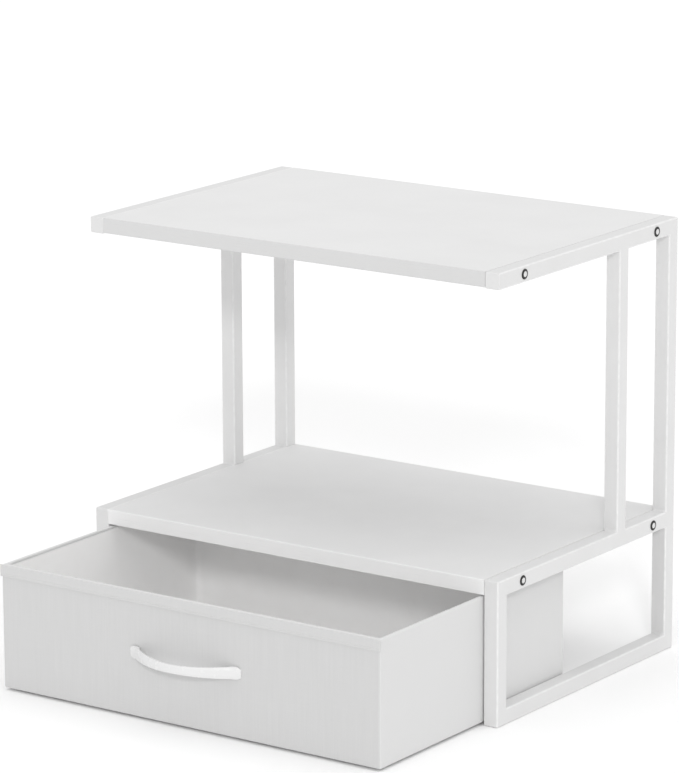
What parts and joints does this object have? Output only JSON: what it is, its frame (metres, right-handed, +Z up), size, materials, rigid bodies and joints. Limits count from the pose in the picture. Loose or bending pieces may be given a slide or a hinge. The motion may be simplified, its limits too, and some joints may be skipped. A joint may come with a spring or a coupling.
{
  "type": "printer stand",
  "caption": "Desktop printer stand with white square-tube side frames, an upper and a middle shelf, and a fabric-covered drawer underneath that slides out on its bow handle.",
  "frame": {"origin": "middle of the whole object's footprint at desk level, with the drawer at its part-open rest position", "axes": "+Z up; the drawer pulls out towards -Y; +X to the right of someone facing the drawer"},
  "size_m": [0.4534, 0.4842, 0.412],
  "materials": {
    "frame_steel": "white powder coat, semi-matt, over welded square steel tube",
    "shelf_laminate": "white melamine-faced board, satin",
    "edge_band": "white edge banding, satin",
    "bolt_steel": "dark nickel-plated low head with a bright hexagon socket",
    "plated_steel": "zinc-plated",
    "drawer_fabric": "off-white non-woven cloth with a faint vertical slub, matt",
    "stiffener_card": "grey board, raw",
    "front_fibreboard": "raw fibreboard, hidden in the fabric",
    "handle_plastic": "white moulded plastic, glossy",
    "glide_felt": "grey pressed felt"
  },
  "bodies": {
    "frame": {"left_bottom_rail": "frame_steel", "left_front_post": "frame_steel", "left_middle_front_bolt": "bolt_steel", "left_middle_front_insert": "plated_steel", "left_middle_rail": "frame_steel", "left_middle_rear_bolt": "bolt_steel", "left_middle_rear_insert": "plated_steel", "left_rear_post": "frame_steel", "left_top_front_bolt": "bolt_steel", "left_top_front_insert": "plated_steel", "left_top_rail": "frame_steel", "left_top_rail_end_cap": "frame_steel", "left_top_rear_bolt": "bolt_steel", "left_top_rear_insert": "plated_steel", "left_upper_post": "frame_steel", "middle_shelf_board": "shelf_laminate", "middle_shelf_front_edge_band": "edge_band", "middle_shelf_rear_edge_band": "edge_band", "right_bottom_rail": "frame_steel", "right_front_post": "frame_steel", "right_middle_front_bolt": "bolt_steel", "right_middle_front_insert": "plated_steel", "right_middle_rail": "frame_steel", "right_middle_rear_bolt": "bolt_steel", "right_middle_rear_insert": "plated_steel", "right_rear_post": "frame_steel", "right_top_front_bolt": "bolt_steel", "right_top_front_insert": "plated_steel", "right_top_rail": "frame_steel", "right_top_rail_end_cap": "frame_steel", "right_top_rear_bolt": "bolt_steel", "right_top_rear_insert": "plated_steel", "right_upper_post": "frame_steel", "top_shelf_board": "shelf_laminate", "top_shelf_front_edge_band": "edge_band", "top_shelf_rear_edge_band": "edge_band"},
    "drawer": {"drawer_base_board": "stiffener_card", "drawer_cover": "drawer_fabric", "drawer_front_board": "front_fibreboard", "drawer_front_hem": "drawer_fabric", "drawer_front_left_glide": "glide_felt", "drawer_front_right_glide": "glide_felt", "drawer_handle": "handle_plastic", "drawer_handle_left_screw": "plated_steel", "drawer_handle_left_washer": "plated_steel", "drawer_handle_right_screw": "plated_steel", "drawer_handle_right_washer": "plated_steel", "drawer_left_board": "stiffener_card", "drawer_lining": "drawer_fabric", "drawer_rear_board": "stiffener_card", "drawer_rear_left_glide": "glide_felt", "drawer_rear_right_glide": "glide_felt", "drawer_right_board": "stiffener_card"}
  },
  "joints": [
    {"name": "drawer_slide", "type": "slide", "parent": "frame", "child": "drawer", "axis": [0, -1, 0], "range_m": [-0.1585, 0.0815]}
  ]
}
